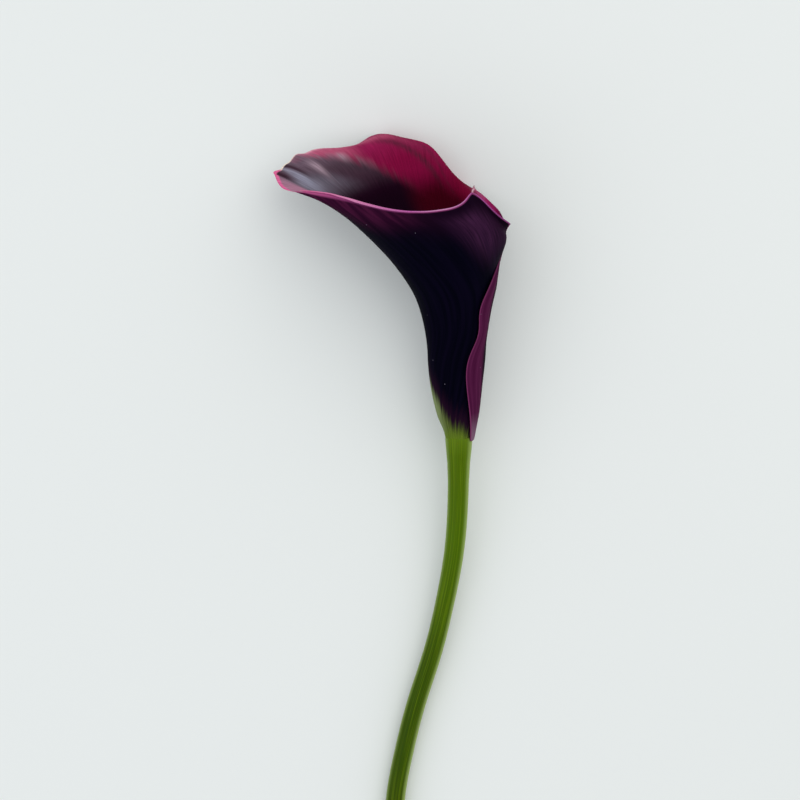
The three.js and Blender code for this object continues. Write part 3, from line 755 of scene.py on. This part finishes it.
rows, rings = stemRows()
placesAcross = [i / stem["sides"] for i in range(stem["sides"] + 1)]
placesUp = [j / (len(rows) - 1) for j in range(len(rows))]
stemPiece, spots = shapedGrid("stemStalk", rows, placesAcross, placesUp)
grain = stemPiece.data.attributes.new("grain", "FLOAT_VECTOR", "POINT")
for value, (i, j) in zip(grain.data, spots):
    angle = 2 * math.pi * placesAcross[i]
    value.vector = (math.cos(angle), math.sin(angle), rings[j][3])
cutRings, pastSkin = len(stem["cutProfile"]) + 1, 9  # mm, more than any radius
addAttribute(stemPiece, "spoke", [rings[j][2] if j < cutRings else pastSkin for _, j in spots])
closeSkin(stemPiece)
print("stem shaped with", len(stemPiece.data.polygons), "faces")

# living calla stalk: fleshy green under a thin waxy skin, with fine streaks along it and a painted highlight along each
# flank
stalkSkin, tree, shader = newMaterial("callaStalkSkin")
place = addNode(tree, "Attribute", {"attribute_name": "grain"}).outputs["Vector"]
placed = addNode(tree, "SeparateXYZ", inputs={"Vector": place})
# streaks 0.3 mm wide and 40 mm long
streakPlace = addNode(tree, "Mapping", inputs={"Vector": place, "Scale": (13, 13, 0.025)})
streaks = addNode(tree, "TexNoise", inputs={"Vector": streakPlace.outputs[0], "Scale": 1, "Detail": 4})
length = addNode(tree, "MapRange",
                 inputs={"Value": placed.outputs["Z"], "From Max": -stem["line"][-1][1]}).outputs["Result"]
body = addNode(tree, "ValToRGB", inputs={"Fac": length},
               stops=[(0, "#567010"), (1, "#465400"), (0.03, "#486200"), (0.17, "#466400"), (0.35, "#344c00"),
                      (0.55, "#2e4600"), (0.75, "#404e00")]).outputs[0]
streakShare = addNode(tree, "MapRange", {"interpolation_type": "SMOOTHSTEP"},
                      {"Value": streaks.outputs["Fac"], "From Min": 0.42, "From Max": 0.72,
                       "To Max": 0.5}).outputs["Result"]
streaked = addNode(tree, "Mix", colorMix, {0: streakShare, 6: body, 7: "#6e8a08"}).outputs[2]
# a painted highlight along both flanks of the stalk, where its sides catch the light, a little weaker on one flank
leftSide = addNode(tree, "Math", {"operation": "MULTIPLY"}, {0: placed.outputs["X"], 1: -0.82}).outputs[0]
side = addNode(tree, "Math", {"operation": "MAXIMUM"}, {0: placed.outputs["X"], 1: leftSide}).outputs[0]
paintedFlankHighlight = addNode(tree, "MapRange", {"interpolation_type": "SMOOTHSTEP"},
                {"Value": side, "From Min": 0.55, "From Max": 0.95, "To Max": 0.75}).outputs["Result"]
withFlankHighlight = addNode(tree, "Mix", colorMix, {0: paintedFlankHighlight, 6: streaked, 7: "#96ac58"}).outputs[2]
relief = addNode(tree, "Bump", inputs={"Height": streaks.outputs["Fac"], "Strength": 0.25, "Distance": 0.1 * mm})
fillInputs(tree, shader, {"Base Color": withFlankHighlight, "Roughness": 0.3, "IOR": 1.42, "Specular IOR Level": 0.08,
                          "Sheen Weight": 0.05, "Sheen Roughness": 0.3, "Sheen Tint": "#d4e4a8",
                          "Subsurface Weight": 0.1, "Subsurface Scale": 0.001, "Normal": relief.outputs[0]})

# fresh cut through the stalk: wet pale pith full of air cells, drawn 0.5 mm wide so that they show, in a green skin
cutFace, tree, shader = newMaterial("callaStalkCut")
place = addNode(tree, "TexCoord").outputs["Object"]
cells = addNode(tree, "TexVoronoi", inputs={"Vector": place, "Scale": 1800})
spoke = addNode(tree, "Attribute", {"attribute_name": "spoke"}).outputs["Fac"]
pith = addNode(tree, "ValToRGB", inputs={"Fac": cells.outputs["Distance"]},
               stops=[(0, "#a9b878"), (1, "#dfe4bd")]).outputs[0]
skinShare = addNode(tree, "MapRange", inputs={"Value": spoke, "From Min": 3.2, "From Max": 3.7})
cutColor = addNode(tree, "Mix", colorMix, {0: skinShare.outputs["Result"], 6: pith, 7: "#6f8f38"}).outputs[2]
relief = addNode(tree, "Bump", inputs={"Height": cells.outputs["Distance"], "Strength": 0.5, "Distance": 0.2 * mm})
fillInputs(tree, shader, {"Base Color": cutColor, "Roughness": 0.35, "Normal": relief.outputs[0]})

for material in (stalkSkin, cutFace):
    stemPiece.data.materials.append(material)
cutLine = (stem["line"][-1][1] + bloomBase.y + 1) * mm  # 1 mm above the cut end
for polygon in stemPiece.data.polygons:
    if polygon.center.y < cutLine and polygon.normal.y < -0.8:
        polygon.material_index = 1
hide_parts("stem")
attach(stemPiece, "root")

# the spadix

spadix = {
    # each zone: where it starts above the stem's top, its length, its radii on the way up, and the florets' spacing
    "female": {"start": 3.7, "length": 12, "spacing": 2.1,
               "radii": [(0, 2.9), (1.5, 3.5), (6, 3.8), (10.5, 3.5), (12, 2.6)]},
    "male": {"start": 16.0, "length": 32, "spacing": 0.95,
             "radii": [(0, 2.4), (2, 2.9), (12, 2.9), (24, 2.4), (29, 1.9), (31.2, 1.2), (32, 0.5)]},
    "turn": 137.508,  # degrees from one floret to the next
    "spread": 0.12,  # how much their sizes differ
    "sunk": 0.12,  # how deep they sit, as a share of their spacing
    "packing": 0.87,  # how close the rows lie, as a share of their spacing
    "coreDepth": 0.1,  # mm that the axis lies under the zone's radii
    "maleFloret": {"radius": 0.55, "height": 0.75, "dentWidth": 0.25, "dentDepth": 0.16},
    # a ball of this radius, its style's start and what of it is buried, and where the stigma's colour sets in
    "femaleFloret": {"radius": 1.02, "styleStart": 0.9, "buried": 0.35, "stigma": (0.98, 1.08)},
    # the style's steps: mm up, and the width and height that are left of the step before
    "style": [(0.12, 0.75, 0.4), (0.1, 1.35, 1), (0.09, 0.6, 1)],
}

# the spike follows the middle of the tube, below the limb
centres = [centre for level, centre, *_ in spathe["tube"] if level < 0.4]
run = [0.0]
for a, b in zip(centres, centres[1:]):
    run.append(run[-1] + (Vector(b) - Vector(a)).length)
spineAt = splineThrough(run, centres)


# the spike's centre, direction and two sides, at a way up it
def spineFrame(way):
    centre = Vector(spineAt(way))
    axis = (Vector(spineAt(way + 0.2)) - centre).normalized()
    sideways = Vector((axis.y, -axis.x, 0)).normalized()
    return centre, axis, sideways, sideways.cross(axis)


# the fleshy axis under the florets
def zoneCore(name, zone):
    rows = []
    steps, sides, endShare, length = 40, 32, 0.05, zone["length"]
    ways = [(0, endShare)] + [(length * k / steps, 1) for k in range(steps + 1)] + [(length, endShare)]
    for way, share in ways:
        centre, _, sideways, upright = spineFrame(zone["start"] + way)
        radius = (mixPairs(zone["radii"], way) - spadix["coreDepth"]) * share
        angles = [-2 * math.pi * (i % sides) / sides for i in range(sides + 1)]
        rows.append([centre + (sideways * math.cos(t) + upright * math.sin(t)) * radius for t in angles])
    core, _ = shapedGrid(name, rows, [i / sides for i in range(sides + 1)], [j / len(ways) for j in range(len(ways))])
    closeSkin(core)
    return core


# copies of one floret, set round the axis a golden angle apart, each with its own mesh
def setFlorets(model, zone):
    florets, spacing = [], zone["spacing"]
    way, count = spacing * 0.4, 0
    while way < zone["length"] - spacing * 0.3:
        centre, axis, sideways, upright = spineFrame(zone["start"] + way)
        angle = math.radians(spadix["turn"]) * count
        out = sideways * math.cos(angle) + upright * math.sin(angle)
        side = axis.cross(out)
        radius = mixPairs(zone["radii"], way)
        size = 1 + spadix["spread"] * noise.noise(Vector((count * 0.37, 0.2, 0.5)))
        copy = model.copy()
        copy.data = model.data.copy()
        bpy.context.scene.collection.objects.link(copy)
        spot = (centre + out * (radius - spadix["sunk"] * spacing) + bloomBase) * mm
        for vertex in copy.data.vertices:
            x, y, z = vertex.co * size
            vertex.co = spot + side * x + axis * y + out * z
        florets.append(copy)
        way += spacing * spacing * spadix["packing"] / (2 * math.pi * radius)
        count += 1
    return florets


# the florets and their axis as one piece
def joinFlorets(core, florets, model, name):
    deselectAll()
    for floret in florets:
        floret.select_set(True)
    core.select_set(True)
    bpy.context.view_layer.objects.active = core
    bpy.ops.object.join()
    core.name = name
    bpy.data.objects.remove(model)
    bpy.ops.object.shade_smooth()
    print(name, "shaped with", len(florets), "florets")
    return core


# one male floret: a low cushion of anthers with a dent where the pollen comes out
floret = spadix["maleFloret"]
deselectAll()
bpy.ops.mesh.primitive_uv_sphere_add(segments=8, ring_count=6, radius=floret["radius"] * mm, location=(0, 0, 0))
maleModel = bpy.context.object
for vertex in maleModel.data.vertices:
    dent = max(0, 1 - math.hypot(vertex.co.x, vertex.co.y) / (floret["dentWidth"] * mm))
    vertex.co.z = vertex.co.z * floret["height"] - (dent * floret["dentDepth"] * mm if vertex.co.z > 0 else 0)
core = zoneCore("maleCore", spadix["male"])
malePiece = joinFlorets(core, setFlorets(maleModel, spadix["male"]), maleModel, "maleFlorets")

# one female floret: a round ovary with a short style and a pale stigma on it
floret = spadix["femaleFloret"]
deselectAll()
bpy.ops.mesh.primitive_uv_sphere_add(segments=12, ring_count=8, radius=floret["radius"] * mm, location=(0, 0, 0))
femaleModel = bpy.context.object
bpy.ops.object.mode_set(mode="EDIT")
bpy.ops.mesh.select_mode(type="FACE")
bpy.ops.mesh.select_all(action="DESELECT")
bpy.ops.object.mode_set(mode="OBJECT")
for polygon in femaleModel.data.polygons:
    polygon.select = polygon.center.z > floret["styleStart"] * mm
bpy.ops.object.mode_set(mode="EDIT")
for rise, width, height in spadix["style"]:
    bpy.ops.mesh.extrude_region_move(TRANSFORM_OT_translate={"value": (0, 0, rise * mm)})
    bpy.ops.transform.resize(value=(width, width, height))
bpy.ops.object.mode_set(mode="OBJECT")
low, high = [way * mm for way in floret["stigma"]]
addAttribute(femaleModel, "stigma", [smoothstep(low, high, v.co.z) for v in femaleModel.data.vertices])
for vertex in femaleModel.data.vertices:
    vertex.co.z -= floret["buried"] * mm
core = zoneCore("femaleCore", spadix["female"])
addAttribute(core, "stigma", [0.0] * len(core.data.vertices))
femalePiece = joinFlorets(core, setFlorets(femaleModel, spadix["female"]), femaleModel, "femaleFlorets")

# ripe anthers under loose pollen: matt golden grains, drawn 0.3 mm wide so that they show, in patches of 4 mm
pollen, tree, shader = newMaterial("ripeAnthers")
place = addNode(tree, "TexCoord").outputs["Object"]
dust = addNode(tree, "TexNoise", inputs={"Vector": place, "Scale": 3500, "Detail": 3})
patches = addNode(tree, "TexNoise", inputs={"Vector": place, "Scale": 260, "Detail": 2})
ground = addNode(tree, "Mix", colorMix, {0: patches.outputs["Fac"], 6: "#b97c0c", 7: "#e8b62a"}).outputs[2]
dustShare = addNode(tree, "MapRange",
                    inputs={"Value": dust.outputs["Fac"], "From Min": 0.5, "From Max": 0.68}).outputs["Result"]
dustAndSheenVeins = addNode(tree, "Mix", colorMix, {0: dustShare, 6: ground, 7: "#f4d468"}).outputs[2]
relief = addNode(tree, "Bump", inputs={"Height": dust.outputs["Fac"], "Strength": 0.6, "Distance": 0.1 * mm})
fillInputs(tree, shader, {"Base Color": dustAndSheenVeins, "Roughness": 0.9, "Specular IOR Level": 0.2,
                          "Normal": relief.outputs[0]})
malePiece.data.materials.append(pollen)

# young ovaries: smooth, slightly glossy pale green with a mottle of 1.5 mm, each with a sticky cream stigma
ovary, tree, shader = newMaterial("greenOvaries")
place = addNode(tree, "TexCoord").outputs["Object"]
stigma = addNode(tree, "Attribute", {"attribute_name": "stigma"}).outputs["Fac"]
mottle = addNode(tree, "TexNoise", inputs={"Vector": place, "Scale": 700, "Detail": 3})
skin = addNode(tree, "Mix", colorMix, {0: mottle.outputs["Fac"], 6: "#7c8f33", 7: "#a9b562"}).outputs[2]
tipped = addNode(tree, "Mix", colorMix, {0: stigma, 6: skin, 7: "#e9dfae"}).outputs[2]
relief = addNode(tree, "Bump", inputs={"Height": mottle.outputs["Fac"], "Strength": 0.3, "Distance": 0.1 * mm})
fillInputs(tree, shader, {"Base Color": tipped, "Roughness": 0.35, "IOR": 1.42, "Normal": relief.outputs[0]})
femalePiece.data.materials.append(ovary)

for piece, node in ((malePiece, "spadix_male_zone"), (femalePiece, "spadix_female_zone")):
    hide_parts(node)
    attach(piece, "root")

# the box round all shown objects but the floor

low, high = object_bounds()
